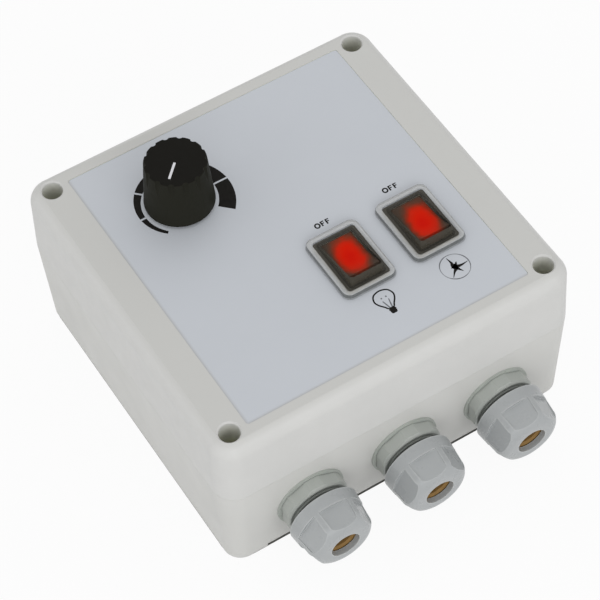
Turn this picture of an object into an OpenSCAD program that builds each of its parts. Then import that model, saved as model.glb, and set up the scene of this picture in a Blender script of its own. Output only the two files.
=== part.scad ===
// Wall-mounted control box for a ventilation fan and a light: a two-part plastic enclosure
// with a speed knob, two rocker switches under clear boots and three cable glands.
// Origin at the centre of the wall face, +Z out of the lid, -Y towards the glands.

/* [Enclosure] */
// Width of the box at the joint between base and lid
box_w = 125.5; // [120:0.5:150]
// Depth of the box at the joint, without the glands
box_d = 122.5; // [120:0.5:150]
// Height from the wall to the top of the lid
box_h = 60.8; // [59:0.2:75]
// Height of the joint line above the wall
seam_h = 36.2; // [34:0.2:40]
// Width of the gap that shows at the joint line
seam_gap = 0.05; // [0.05:0.05:0.3]
// Wall thickness of both halves
wall = 2.6; // [2.4:0.1:3.2]
// Thickness of the lid's top
lid_t = 3; // [2.6:0.1:4]
// Thickness of the base's floor
floor_t = 2.6; // [2:0.1:4]
// Draft of the base walls in degrees
base_draft = 3; // [1.5:0.5:4]
// Draft of the lid walls in degrees
lid_draft = 1.5; // [0.5:0.5:2.5]
// Rounding along the top edges of the lid
edge_r = 5.5; // [4.5:0.5:6]
// Width of that rounding seen from above, up to the crease where it meets the top
edge_w = 3.4; // [3:0.1:3.8]
// Height of the two rear rails
rail_h = 1.2; // [0.8:0.1:2]
// Width of each rear rail
rail_w = 12; // [8:0.5:14]

/* [Corner columns and lid screws] */
// Distance of the lid screws from the sides of the box
screw_inset = 7.75; // [7:0.25:9]
// How far the corner columns stand proud of the walls
column_proud = 0.05; // [0.05:0.05:0.5]
// Radius of the screw wells in the lid
well_r = 3.3; // [3.2:0.1:3.5]
// Height of the screw heads' seat above the joint line
screw_seat_h = 10.6; // [9:0.1:12]
// Chamfer at the mouth of the wells
well_chamfer = 0.5; // [0.3:0.1:0.6]
// Radius of the lid screws' thread
lid_screw_r = 2; // [1.5:0.1:2.2]
// Length of the lid screws under the head
lid_screw_len = 20; // [18:0.5:22]
// Radius of the lid screws' head
lid_head_r = 2.9; // [2.6:0.1:3]
// Height of the lid screws' head
lid_head_h = 2.6; // [2:0.1:3]
// Outer radius of the brass inserts
insert_r = 3; // [2.8:0.1:3.4]
// Length of the brass inserts
insert_len = 10; // [8:0.5:12]

/* [Seal and wall fixing] */
// Width of the lid gasket
gasket_w = 1; // [0.8:0.1:1.2]
// Depth of the gasket's groove in the base
groove_d = 1.2; // [0.8:0.1:1.6]
// Radius of the wall screw holes
fixing_r = 2.25; // [2:0.05:2.6]
// Distance between the wall screws across the box
fixing_w = 88; // [84:1:90]
// Distance between the wall screws along the box
fixing_d = 94; // [88:1:96]

/* [Front label] */
// Width of the label
label_w = 98.6; // [94:0.2:100]
// Depth of the label
label_d = 108.2; // [100:0.2:109]
// Thickness of the label
label_t = 0.3; // [0.2:0.05:0.4]
// Depth of the recess that holds the label
label_recess = 0.45; // [0.4:0.05:0.6]

/* [Speed knob and potentiometer] */
// Place of the knob across the lid
knob_x = -24; // [-28:0.5:-20]
// Place of the knob along the lid
knob_y = 28; // [24:0.5:32]
// Radius of the knob at its foot
knob_r = 11.15; // [11:0.05:14]
// Radius of the knob at its top
knob_top_r = 9.8; // [9.4:0.05:10.6]
// Height of the knob
knob_h = 18; // [16.4:0.2:22]
// Gap between the knob and the label
knob_gap = 1.2; // [0.5:0.1:2]
// Number of flutes round the knob's top
flute_count = 14; // [10:1:16]
// Depth of the flutes at the top edge
flute_depth = 0.75; // [0.4:0.05:1]
// Length of the flutes down the side
flute_len = 6; // [5:0.5:10]
// Rounding of the knob's top edge
knob_round = 0.5; // [0.4:0.1:1]
// Width of the pointer line
pointer_w = 0.75; // [0.6:0.05:1.2]
// Length of the pointer line
pointer_len = 6.4; // [5:0.2:7.4]
// Direction of the pointer at the low end of the scale, degrees from +X
pointer_angle = 225; // [200:1:250]
// Radius of the potentiometer's shaft
shaft_r = 3; // [2.8:0.05:3.1]
// Radius of the potentiometer's threaded bushing
bushing_r = 4.2; // [4:0.1:4.5]
// Radius of the potentiometer's can
pot_r = 8.2; // [8:0.1:9]
// Height of the potentiometer's can
pot_h = 9; // [8:0.5:12]

/* [Rocker switches] */
// Place of the light switch across the lid
light_x = 7.5; // [6:0.1:10]
// Place of the fan switch across the lid
fan_x = 32.5; // [31:0.1:36]
// Place of both switches along the lid
switch_y = -20.75; // [-24:0.25:-18]
// Width of the switches' bezel
bezel_w = 15; // [14.6:0.1:15.4]
// Length of the switches' bezel
bezel_d = 21.3; // [20.8:0.1:21.8]
// Thickness of the bezel
bezel_t = 1.2; // [0.9:0.1:1.4]
// Width of the rocker
rocker_w = 10.6; // [9.6:0.1:10.8]
// Radius of the rocker's rounded ends about its pivot
rocker_r = 8.7; // [8.2:0.1:8.8]
// Tilt of the rocker at rest in degrees
rocker_tilt = 10.5; // [8:0.5:11]
// Radius of the rocker's trunnions
trunnion_r = 0.9; // [0.7:0.1:0.9]
// Depth of the switch body below its bezel
switch_depth = 14.4; // [12:0.2:16]
// Width of the clear boot round the switch
boot_w = 18.4; // [18:0.1:19]
// Length of the clear boot
boot_d = 24.8; // [24.4:0.1:25.4]
// Corner radius of the boot
boot_corner_r = 2.6; // [1.5:0.1:3.5]
// How far the boot's foot stands out round its rim
boot_foot = 0.3; // [0.3:0.1:0.6]
// Thickness of the boot's film
film_t = 0.4; // [0.3:0.05:0.5]

/* [Cable glands] */
// Distance of the outer glands from the sides of the box
gland_end = 28.95; // [28:0.05:30]
// Place of the middle gland across the box
gland_x = 0.2; // [-1:0.1:1]
// Height of the glands above the wall face
gland_z = 17.2; // [16.8:0.1:20]
// Radius of the glands' fixing thread
gland_thread_r = 7.95; // [7:0.05:8.4]
// Across-flats size of the gland body's collar
collar_af = 20.8; // [20.4:0.1:22]
// Thickness of the gland body's collar
collar_t = 4.5; // [3:0.1:5]
// Thickness of the sealing washer under the collar
gland_washer_t = 0.7; // [0.6:0.1:1.5]
// Gap between the collar and the dome nut, taken up by tightening
nut_gap = 2.5; // [1.9:0.1:3]
// Length of the dome nut
nut_len = 12.6; // [12.4:0.1:15]
// Radius of the dome nut's round back
nut_r = 11.8; // [11.4:0.1:12]
// Across-flats size of the dome nut at the back of its flats
nut_af = 20.3; // [20:0.1:21]
// Radius of the dome nut's mouth
mouth_r = 4.9; // [4.6:0.1:5.2]
// Radius of the cable hole in the seal
seal_bore_r = 4; // [3:0.1:4.4]
// Radius of the thread that carries the dome nut
cap_thread_r = 9; // [8.6:0.05:9.1]

/* [Control board] */
// Width of the board
board_w = 84; // [80:1:88]
// Depth of the board
board_d = 60; // [58:1:64]
// Thickness of the board
board_t = 1.6; // [1:0.1:2]
// Height of the bosses that carry the board
boss_h = 7; // [5:0.5:10]
// Place of the board's centre along the box
board_y = 8; // [6:0.5:10]
// Number of poles on the terminal block
pole_count = 8; // [6:1:8]
// Height of the heat sink
sink_h = 26; // [22:1:28]
// Radius of the insulated leads
lead_r = 0.8; // [0.5:0.1:1]

/* [Hidden] */
$fn = 64;
// Small overlap for cuts that run past a face
eps = 1;
// Clearance of fixed pieces that slip into each other
slip = 0.1;
// Radial clearance of the turning pieces
running = 0.05;
// Clearance round pieces that move
free_gap = 0.3;

half_w = box_w / 2;
half_d = box_d / 2;
screw_x = half_w - screw_inset;
screw_y = half_d - screw_inset;
column_r = screw_inset + column_proud;
post_inset = 1.25;
post_r = screw_inset - post_inset;
floor_z = rail_h + floor_t;
lid_z = seam_h + seam_gap;
lid_in_z = box_h - lid_t;
well_z = seam_h + screw_seat_h;
screw_tip_z = well_z - lid_screw_len;
insert_z = seam_h - insert_len;
cross_w = 1;
// Reach of the screws' cross slot, as a share of the head's radius
cross_reach = 1.3;
rail_in_x = half_w - seam_h * tan(base_draft) - rail_w;
// Width of the floor pads round the wall screw holes
pad_wall = 3.25;
pad_r = fixing_r + pad_wall;

label_corner_r = 1;
label_gap = 0.05;
label_z = box_h - label_recess;
label_top = label_z + label_t;

knob_z = label_top + knob_gap;
knob_top_z = knob_z + knob_h;
knob_skirt_t = 2.2;
knob_hollow_h = 5.5;
insert_wall = 1.6;
knob_insert_h = 7.5;
shaft_reach = 7;
flute_r = 1.1;
// Turn of the flutes from the pointer, in steps
flute_turn = 0.28;
// Flutes lean out until they leave the tapered side
flute_side_r = knob_top_r + (knob_r - knob_top_r) * flute_len / knob_h;
flute_lean = atan((flute_side_r - knob_top_r + flute_depth) / flute_len);
pointer_start = 0.6;
pointer_t = 0.5;
pointer_proud = 0.08;
set_screw_r = 1.45;
set_screw_len = 5;
pot_washer_r = 6;
pot_washer_t = 0.6;
pot_nut_af = 11;
pot_nut_t = 2.2;
bushing_proud = 1;
bushing_top_z = label_top + pot_washer_t + pot_nut_t + bushing_proud;
// Share of the can's height that the shaft runs into
shaft_share = 0.6;
shaft_foot_z = lid_in_z - pot_h * shaft_share;
lug_w = 1.4;
lug_t = 0.6;
lug_len = 3;
lug_step = 30;
lug_drop = 1;

boot_seat_t = 0.4;
bezel_top = boot_seat_t + bezel_t;
pivot_drop = 1.2;
pivot_z = bezel_top - pivot_drop;
opening_w = rocker_w + 2 * free_gap;
opening_d = 2 * (rocker_r + free_gap);
switch_wall = 0.8;
body_w = opening_w + 2 * switch_wall;
switch_end_wall = 0.6;
body_d = opening_d + 2 * switch_end_wall;
trunnion_len = 0.5;
rocker_under = 2.5;
rocker_rise = 2.9;
rocker_dish = 1.1;
rocker_end = sqrt(pow(rocker_r, 2) - pow(rocker_rise, 2));
dish_r = (pow(rocker_end, 2) + pow(rocker_dish, 2)) / (2 * rocker_dish);
lamp_r = 1;
lamp_len = 8;
lamp_drop = 0.5;
well_under_rocker = 5;
blade_w = 4.8;
blade_t = 0.8;
blade_len = 8;
blade_step = 6;
clip_proud = 0.7;
clip_h = 3;
boot_deck_z = bezel_top + slip;
boot_top = boot_deck_z + film_t;

gland_pitch = half_w - gland_end;
gland_wall = wall * cos(base_draft);
gland_y = half_d - (seam_h - gland_z) * tan(base_draft);
gland_tilt = 90 + base_draft;
collar_z = gland_washer_t + collar_t;
nut_z = collar_z + nut_gap;
nut_top = nut_z + nut_len;
thread_pitch = 1.5;
thread_depth = 0.5;
inner_thread_len = 9;
gland_bore_r = mouth_r;
// The screwed collar ends short of the nut's taper when the nut is tight
collar_reach = 5.1;
collar_top = nut_z + collar_reach;
nut_back_len = 4;
// The flats are shallow pockets that lean in and narrow towards the nose
flat_back_w = 9.8;
flat_nose_w = 8.6;
flat_nose_gap = 0.5;
flat_lean = 6.5;
// Turn of each nut's flats as it was tightened, in degrees
nut_turn = [-4, 7, 8];
nut_bore_len = 7.2;
nut_lip = 1.9;
lip_step = 0.5;
dome_r = 4.2;
nose_r = 11;
washer_r = 11.6;
nut_shoulder_r = 7;
nut_taper_r = 7.4;
seal_r = 6.7;
seal_top = nut_top - nut_lip - free_gap;
seal_len = 8.2;
seal_pocket_r = seal_r + free_gap;
locknut_af = 20;
locknut_t = 4.5;
collar_chamfer = 0.8;
hex_round = 1.1;

board_z = floor_z + boss_h;
board_top = board_z + board_t;
board_front = board_y - board_d / 2;
board_back = board_y + board_d / 2;
board_hole_inset = 4;
board_hole_x = board_w / 2 - board_hole_inset;
board_hole_y = board_d / 2 - board_hole_inset;
boss_r = 3.5;
board_screw_r = 1.25;
board_screw_len = 6;
board_head_r = 2.8;
board_head_h = 2;
pole_pitch = 5;
block_end = 1;
block_w = pole_count * pole_pitch + 2 * block_end;
block_d = 10;
block_h = 12;
block_inset = 1;
block_y = board_front + block_inset;
pole_hole_r = 1.7;
pole_hole_len = 6;
pole_entry_z = 4;
pole_screw_r = 1.5;
pole_screw_h = 3;
sink_w = 40;
sink_t = 3;
sink_depth = 12;
sink_fin_t = 1.6;
sink_fins = 6;
sink_x = 12;
sink_inset = 1;
sink_back = board_back - sink_inset;
sink_front = sink_back - sink_depth;
triac_w = 10;
triac_body_t = 4.4;
triac_body_h = 9;
triac_tab_t = 1.3;
triac_tab_h = 6.5;
triac_leg_h = 5;
triac_z = board_top + triac_leg_h;
leg_w = 0.8;
leg_t = 0.5;
leg_step = 2.54;
triac_hole_r = 1.7;
triac_hole_rise = 3;
triac_hole_z = triac_z + triac_body_h + triac_hole_rise;
triac_screw_r = 1.45;
triac_head_r = 2.6;
triac_head_h = 2;
choke_x = 28;
choke_y = 7;
choke_out_r = 11;
choke_in_r = 5;
choke_h = 10;
choke_round = 1.5;
film_cap_size = [18, 8, 14];
film_cap_x = -6;
film_cap_y = 5;
fuse_x = -32;
fuse_y = -3;
fuse_r = 2.6;
fuse_len = 20;
fuse_cap_len = 5.5;
fuse_glass_r = 2.4;
holder_w = 8;
holder_len = 25;
holder_h = 3;
cheek_t = 5;
cheek_h = 8;
fuse_rise = 3.4;
fuse_z = board_top + holder_h + fuse_rise;
lead_land = 14;
lead_land_y = board_front + lead_land;
lead_drop = 3;
lead_bow = 5;
lead_spread = 2.6;
lead_knuckle = 1.08;

// Half size of a drafted wall at height z, from its half size at the joint
function base_half(half, z) = half - (seam_h - z) * tan(base_draft);
function lid_half(half, z) = half - (z - seam_h) * tan(lid_draft);
// Corner radius of a hexagon from its across-flats size
function hex_r(af) = af / 2 / cos(30);

// Places and outlines

module at_corners() {
    for (mx = [0, 1])
        mirror([mx, 0, 0])
            for (my = [0, 1])
                mirror([0, my, 0])
                    translate([screw_x, screw_y, 0])
                        children();
}

module at_fixings() {
    for (x = [-fixing_w / 2, fixing_w / 2])
        for (y = [-fixing_d / 2, fixing_d / 2])
            translate([x, y, 0])
                children();
}

module at_board_holes() {
    for (x = [-board_hole_x, board_hole_x])
        for (y = [-board_hole_y, board_hole_y])
            translate([x, board_y + y, 0])
                children();
}

// Extrudes an outline whose x runs across the box and whose y runs up
module along_y(len) {
    rotate([90, 0, 0])
        linear_extrude(len, center = true)
            children();
}

// Extrudes an outline whose x runs along the box and whose y runs up
module along_x(len) {
    rotate([90, 0, 90])
        linear_extrude(len, center = true)
            children();
}

module trapezoid(half_low, z_low, half_high, z_high) {
    polygon([[-half_low, z_low], [half_low, z_low], [half_high, z_high], [-half_high, z_high]]);
}

module rounded_rect(w, d, r) {
    square([w - 2 * r, d], center = true);
    square([w, d - 2 * r], center = true);
    for (x = [r - w / 2, w / 2 - r])
        for (y = [r - d / 2, d / 2 - r])
            translate([x, y])
                circle(r);
}

module hexagon(af) {
    rotate(30)
        circle(hex_r(af), $fn = 6);
}

// Enclosure

// Solid corner of the cavity that carries the screw column
module corner_block(z_low, z_high) {
    at_corners()
        translate([0, 0, z_low]) {
            cylinder(r = post_r, h = z_high - z_low);
            translate([-post_r, 0, 0])
                cube([post_r + screw_inset, screw_inset, z_high - z_low]);
            translate([0, -post_r, 0])
                cube([screw_inset, post_r + screw_inset, z_high - z_low]);
        }
}

module base_outer() {
    at_corners()
        cylinder(h = seam_h, r1 = base_half(column_r, 0), r2 = column_r);
    along_y(2 * screw_y)
        trapezoid(base_half(half_w, 0), 0, half_w, seam_h);
    along_x(2 * screw_x)
        trapezoid(base_half(half_d, 0), 0, half_d, seam_h);
}

module base_cavity() {
    top = seam_h + eps;
    difference() {
        intersection() {
            along_y(box_d)
                trapezoid(base_half(half_w - wall, floor_z), floor_z, base_half(half_w - wall, top), top);
            along_x(box_w)
                trapezoid(base_half(half_d - wall, floor_z), floor_z, base_half(half_d - wall, top), top);
        }
        corner_block(floor_z - eps, top + eps);
    }
}

module gasket_ring(w) {
    inset = (wall - w) / 2;
    difference() {
        rounded_rect(box_w - 2 * inset, box_d - 2 * inset, screw_inset - inset);
        rounded_rect(box_w - 2 * (inset + w), box_d - 2 * (inset + w), screw_inset - inset - w);
    }
}

module base_box() {
    color("gainsboro")
        difference() {
            union() {
                difference() {
                    base_outer();
                    base_cavity();
                }
                at_board_holes()
                    translate([0, 0, floor_z - floor_t / 2])
                        cylinder(r = boss_r, h = boss_h + floor_t / 2);
            }
            difference() {
                translate([-rail_in_x, -box_d, -eps])
                    cube([2 * rail_in_x, 2 * box_d, rail_h + eps]);
                at_fixings()
                    translate([0, 0, -2 * eps])
                        cylinder(r = pad_r, h = rail_h + 3 * eps);
            }
            translate([0, 0, seam_h - groove_d])
                linear_extrude(groove_d + eps)
                    gasket_ring(gasket_w + slip);
            at_corners()
                translate([0, 0, min(screw_tip_z, insert_z) - eps])
                    cylinder(r = insert_r + running, h = seam_h);
            at_fixings()
                translate([0, 0, -eps])
                    cylinder(r = fixing_r, h = floor_z + 2 * eps);
            at_board_holes()
                translate([0, 0, floor_z])
                    cylinder(r = board_screw_r + running, h = boss_h + eps);
            for (i = [0 : 2])
                at_gland(i)
                    translate([0, 0, -wall - 2 * eps])
                        cylinder(r = gland_thread_r + slip, h = wall + 4 * eps);
        }
}

// Round that leaves the wall smoothly and meets the top of the lid at a crease
function edge_z() = box_h - sqrt(pow(edge_r, 2) - pow(edge_r - edge_w, 2));

module lid_round(mid) {
    intersection() {
        translate([mid, edge_z()])
            circle(edge_r);
        translate([mid, edge_z()])
            square([edge_r, box_h - edge_z()]);
    }
}

// Right half of the lid's section
module lid_half_section(half) {
    mid = lid_half(half, edge_z()) - edge_r;
    polygon([[0, lid_z], [lid_half(half, lid_z), lid_z], [mid + edge_r, edge_z()], [0, edge_z()]]);
    translate([0, lid_z])
        square([mid, box_h - lid_z]);
    lid_round(mid);
}

module lid_profile(half) {
    lid_half_section(half);
    mirror([1, 0])
        lid_half_section(half);
}

module lid_column() {
    rotate_extrude()
        lid_half_section(column_r);
}

module lid_cavity() {
    low = seam_h - eps;
    difference() {
        intersection() {
            along_y(box_d)
                trapezoid(lid_half(half_w - wall, low), low, lid_half(half_w - wall, lid_in_z), lid_in_z);
            along_x(box_w)
                trapezoid(lid_half(half_d - wall, low), low, lid_half(half_d - wall, lid_in_z), lid_in_z);
        }
        corner_block(low - eps, lid_in_z + eps);
    }
}

module lid() {
    color("gainsboro")
        difference() {
            union() {
                at_corners()
                    lid_column();
                along_y(2 * screw_y)
                    lid_profile(half_w);
                along_x(2 * screw_x)
                    lid_profile(half_d);
            }
            lid_cavity();
            at_corners() {
                translate([0, 0, well_z])
                    cylinder(r = well_r, h = box_h - well_z + eps);
                translate([0, 0, box_h - well_chamfer])
                    cylinder(r1 = well_r, r2 = well_r + 2 * well_chamfer, h = 2 * well_chamfer);
                translate([0, 0, seam_h - eps])
                    cylinder(r = lid_screw_r + slip, h = well_z - seam_h + 2 * eps);
            }
            translate([0, 0, label_z])
                linear_extrude(label_recess + eps)
                    rounded_rect(label_w + 2 * label_gap, label_d + 2 * label_gap, label_corner_r);
            translate([knob_x, knob_y, lid_in_z - eps])
                cylinder(r = bushing_r + slip, h = lid_t + 2 * eps);
            for (x = [light_x, fan_x])
                translate([x, switch_y, lid_in_z - eps])
                    linear_extrude(lid_t + 2 * eps)
                        square([body_w + 4 * slip, body_d + 4 * slip], center = true);
        }
}

module lid_gasket() {
    color("dimgray")
        translate([0, 0, seam_h - groove_d])
            linear_extrude(groove_d + seam_gap)
                gasket_ring(gasket_w);
}

module lid_screws() {
    color("silver")
        at_corners()
            difference() {
                union() {
                    translate([0, 0, screw_tip_z])
                        cylinder(r = lid_screw_r, h = lid_screw_len);
                    translate([0, 0, well_z])
                        cylinder(r1 = lid_head_r, r2 = lid_head_r - lid_head_h / 4, h = lid_head_h);
                }
                for (a = [0, 90])
                    translate([0, 0, well_z + lid_head_h])
                        rotate(a)
                            cube([cross_reach * lid_head_r, cross_w, lid_head_h], center = true);
            }
}

module lid_inserts() {
    color("goldenrod")
        at_corners()
            translate([0, 0, insert_z])
                difference() {
                    cylinder(r = insert_r, h = insert_len);
                    translate([0, 0, -eps])
                        cylinder(r = lid_screw_r + running, h = insert_len + 2 * eps);
                }
}

module front_label() {
    color("lightsteelblue")
        translate([0, 0, label_z])
            linear_extrude(label_t)
                difference() {
                    rounded_rect(label_w, label_d, label_corner_r);
                    translate([knob_x, knob_y])
                        circle(bushing_r + slip);
                    for (x = [light_x, fan_x])
                        translate([x, switch_y])
                            square([body_w + 4 * slip, body_d + 4 * slip], center = true);
                }
}

// Speed knob and potentiometer

module at_pot() {
    translate([knob_x, knob_y, 0])
        children();
}

module at_lugs() {
    for (i = [-1 : 1])
        rotate(i * lug_step - 90)
            translate([pot_r, 0, lid_in_z - pot_h + lug_drop])
                children();
}

module speed_pot() {
    color("gray")
        at_pot()
            difference() {
                union() {
                    translate([0, 0, lid_in_z - pot_h])
                        cylinder(r = pot_r, h = pot_h);
                    translate([0, 0, lid_in_z - eps])
                        cylinder(r = bushing_r, h = bushing_top_z - lid_in_z + eps);
                    at_lugs()
                        translate([-eps, -lug_w / 2, 0])
                            cube([lug_len + eps, lug_w, lug_t]);
                }
                translate([0, 0, shaft_foot_z - free_gap])
                    cylinder(r = shaft_r + running, h = bushing_top_z - shaft_foot_z + free_gap + eps);
            }
}

module pot_washer() {
    color("silver")
        at_pot()
            translate([0, 0, label_top])
                difference() {
                    cylinder(r = pot_washer_r, h = pot_washer_t);
                    translate([0, 0, -eps])
                        cylinder(r = bushing_r + slip, h = pot_washer_t + 2 * eps);
                }
}

module pot_nut() {
    color("silver")
        at_pot()
            translate([0, 0, label_top + pot_washer_t])
                difference() {
                    linear_extrude(pot_nut_t)
                        hexagon(pot_nut_af);
                    translate([0, 0, -eps])
                        cylinder(r = bushing_r + running, h = pot_nut_t + 2 * eps);
                }
}

module pot_shaft() {
    color("silver")
        at_pot()
            translate([0, 0, shaft_foot_z])
                cylinder(r = shaft_r, h = knob_z + knob_hollow_h + shaft_reach - shaft_foot_z);
}

// The set screw enters opposite the pointer
module at_set_screw() {
    at_pot()
        translate([0, 0, knob_z + knob_hollow_h + knob_insert_h / 2])
            rotate(pointer_angle + 180)
                rotate([0, 90, 0])
                    children();
}

module knob_flutes() {
    top_r = knob_top_r + flute_r - flute_depth;
    for (i = [0 : flute_count - 1])
        rotate(pointer_angle + (i + flute_turn) * 360 / flute_count)
            translate([top_r, 0, knob_h])
                rotate([0, -flute_lean, 0])
                    cylinder(r = flute_r, h = 3 * flute_len, center = true);
}

// Half section of the knob: tapered side and rounded top edge
module knob_section() {
    bend_z = knob_h - knob_round;
    polygon([[0, 0], [knob_r, 0], [knob_top_r, bend_z], [0, bend_z]]);
    square([knob_top_r - knob_round, knob_h]);
    intersection() {
        translate([knob_top_r - knob_round, bend_z])
            circle(knob_round);
        translate([0, bend_z])
            square([knob_top_r, knob_round]);
    }
}

module knob() {
    color("black")
        difference() {
            at_pot()
                translate([0, 0, knob_z])
                    difference() {
                        rotate_extrude()
                            knob_section();
                        translate([0, 0, -eps])
                            cylinder(r = knob_r - knob_skirt_t, h = knob_hollow_h + eps);
                        cylinder(r = shaft_r + insert_wall + running, h = knob_hollow_h + knob_insert_h);
                        knob_flutes();
                        rotate(pointer_angle)
                            translate([pointer_start, -pointer_w / 2, knob_h - pointer_t])
                                cube([pointer_len, pointer_w, pointer_t + eps]);
                    }
            at_set_screw()
                cylinder(r = set_screw_r + slip, h = knob_r + eps);
        }
}

module knob_pointer() {
    color("white")
        at_pot()
            rotate(pointer_angle)
                translate([pointer_start, -pointer_w / 2, knob_top_z - pointer_t])
                    cube([pointer_len, pointer_w, pointer_t + pointer_proud]);
}

module knob_insert() {
    color("goldenrod")
        difference() {
            at_pot()
                translate([0, 0, knob_z + knob_hollow_h])
                    difference() {
                        cylinder(r = shaft_r + insert_wall, h = knob_insert_h);
                        translate([0, 0, -eps])
                            cylinder(r = shaft_r + running, h = knob_insert_h + 2 * eps);
                    }
            at_set_screw()
                cylinder(r = set_screw_r + running, h = knob_r);
        }
}

module knob_set_screw() {
    socket_af = 1.5;
    socket_depth = 1.5;
    color("dimgray")
        at_set_screw()
            difference() {
                translate([0, 0, shaft_r + running])
                    cylinder(r = set_screw_r, h = set_screw_len);
                translate([0, 0, shaft_r + running + set_screw_len - socket_depth])
                    linear_extrude(socket_depth + eps)
                        hexagon(socket_af);
            }
}

// Rocker switches

module at_switch(x) {
    translate([x, switch_y, label_top])
        children();
}

module at_rocker(x) {
    at_switch(x)
        translate([0, 0, pivot_z])
            rotate([-rocker_tilt, 0, 0])
                children();
}

module switch_housing(x) {
    bezel_corner_r = 1;
    color("black")
        at_switch(x)
            difference() {
                union() {
                    translate([0, 0, boot_seat_t])
                        linear_extrude(bezel_t)
                            rounded_rect(bezel_w, bezel_d, bezel_corner_r);
                    translate([-body_w / 2, -body_d / 2, boot_seat_t - switch_depth])
                        cube([body_w, body_d, switch_depth + bezel_t / 2]);
                    along_x(body_w / 2)
                        for (s = [-1, 1])
                            scale([s, 1])
                                polygon([
                                    [body_d / 2 - eps, lid_in_z - label_top],
                                    [body_d / 2 + clip_proud, lid_in_z - label_top],
                                    [body_d / 2, lid_in_z - label_top - clip_h],
                                    [body_d / 2 - eps, lid_in_z - label_top - clip_h]
                                ]);
                }
                translate([-opening_w / 2, -opening_d / 2, pivot_z - well_under_rocker])
                    cube([opening_w, opening_d, well_under_rocker + bezel_top]);
                translate([0, 0, pivot_z])
                    rotate([0, 90, 0])
                        cylinder(r = trunnion_r + running, h = body_w + 2 * slip, center = true);
            }
}

module rocker(x) {
    color("darkred")
        at_rocker(x)
            difference() {
                union() {
                    along_x(rocker_w)
                        difference() {
                            intersection() {
                                circle(rocker_r);
                                translate([-rocker_r, -rocker_under])
                                    square([2 * rocker_r, rocker_under + rocker_r]);
                            }
                            translate([0, rocker_rise - rocker_dish + dish_r])
                                circle(dish_r);
                        }
                    rotate([0, 90, 0])
                        cylinder(r = trunnion_r, h = rocker_w + 2 * (free_gap + trunnion_len), center = true);
                }
                translate([0, 0, -lamp_drop])
                    rotate([90, 0, 0])
                        cylinder(r = lamp_r + slip, h = lamp_len + 2 * slip, center = true);
            }
}

module rocker_lamp(x) {
    color("orange")
        at_rocker(x)
            translate([0, 0, -lamp_drop])
                rotate([90, 0, 0])
                    cylinder(r = lamp_r, h = lamp_len, center = true);
}

module switch_blades(x) {
    foot_z = boot_seat_t - switch_depth - blade_len;
    color("silver")
        at_switch(x)
            for (i = [-1 : 1])
                translate([-blade_w / 2, i * blade_step - blade_t / 2, foot_z])
                    cube([blade_w, blade_t, blade_len]);
}

// Film over the rocker, drawn out from the rocker's own section by a distance
module boot_film(grow) {
    near = rocker_r + free_gap + grow;
    near_y = rocker_end * cos(rocker_tilt) - rocker_rise * sin(rocker_tilt) + free_gap + grow;
    near_z = pivot_z + rocker_end * sin(rocker_tilt) + rocker_rise * cos(rocker_tilt) + free_gap + grow;
    far_y = rocker_end * cos(rocker_tilt) + rocker_rise * sin(rocker_tilt) + free_gap + grow;
    far_z = pivot_z - rocker_end * sin(rocker_tilt) + rocker_rise * cos(rocker_tilt) + free_gap + grow;
    along_x(opening_w + 2 * grow)
        polygon([[-near, bezel_top - slip], [-near_y, near_z], [far_y, far_z], [far_y, bezel_top - slip]]);
}

module switch_boot(x) {
    pocket_r = 1;
    foot_w = boot_w + 2 * boot_foot;
    foot_d = boot_d + 2 * boot_foot;
    color("lightgray", 0.5)
        at_switch(x)
            difference() {
                union() {
                    linear_extrude(boot_foot)
                        rounded_rect(foot_w, foot_d, boot_corner_r + boot_foot);
                    linear_extrude(boot_top)
                        rounded_rect(boot_w, boot_d, boot_corner_r);
                    boot_film(film_t);
                }
                translate([0, 0, boot_seat_t])
                    linear_extrude(bezel_t + slip)
                        rounded_rect(bezel_w + 2 * slip, bezel_d + 2 * slip, pocket_r);
                translate([0, 0, -eps])
                    linear_extrude(boot_seat_t + 2 * eps)
                        square([body_w + 2 * slip, body_d + 2 * slip], center = true);
                boot_film(0);
            }
}

// Cable glands, drawn with +Z out of the front wall

module at_gland(i) {
    translate([gland_x + (i - 1) * gland_pitch, -gland_y, gland_z])
        rotate([gland_tilt, 0, 0])
            children();
}

module gland_body(i) {
    corner_r = hex_r(collar_af) - hex_round;
    face_r = corner_r - collar_chamfer;
    tail_z = -gland_wall - inner_thread_len;
    color("darkgray")
        at_gland(i)
            difference() {
                union() {
                    intersection() {
                        translate([0, 0, gland_washer_t])
                            linear_extrude(collar_t)
                                hexagon(collar_af);
                        rotate_extrude()
                            polygon([
                                [0, gland_washer_t], [corner_r, gland_washer_t],
                                [corner_r, collar_z - collar_chamfer], [face_r, collar_z], [0, collar_z]
                            ]);
                    }
                    translate([0, 0, tail_z])
                        cylinder(r = gland_thread_r, h = gland_washer_t - tail_z + eps);
                    difference() {
                        translate([0, 0, collar_z - eps])
                            cylinder(r = cap_thread_r, h = collar_top - collar_z + eps);
                        for (z = [collar_z + thread_pitch / 2 : thread_pitch : collar_top - thread_pitch / 2])
                            thread_groove(cap_thread_r, z);
                    }
                }
                translate([0, 0, tail_z - eps])
                    cylinder(r = gland_bore_r, h = collar_top - tail_z + 2 * eps);
                translate([0, 0, seal_top - seal_len - thread_pitch - free_gap])
                    cylinder(r = seal_pocket_r, h = collar_top);
            }
}

module thread_groove(r, z) {
    half = thread_pitch / 2;
    rotate_extrude()
        polygon([[r - thread_depth, z], [r + thread_depth, z - half], [r + thread_depth, z + half]]);
}

module gland_washer(i) {
    color("dimgray")
        at_gland(i)
            difference() {
                cylinder(r = washer_r, h = gland_washer_t);
                translate([0, 0, -eps])
                    cylinder(r = gland_thread_r + slip, h = gland_washer_t + 2 * eps);
            }
}

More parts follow.
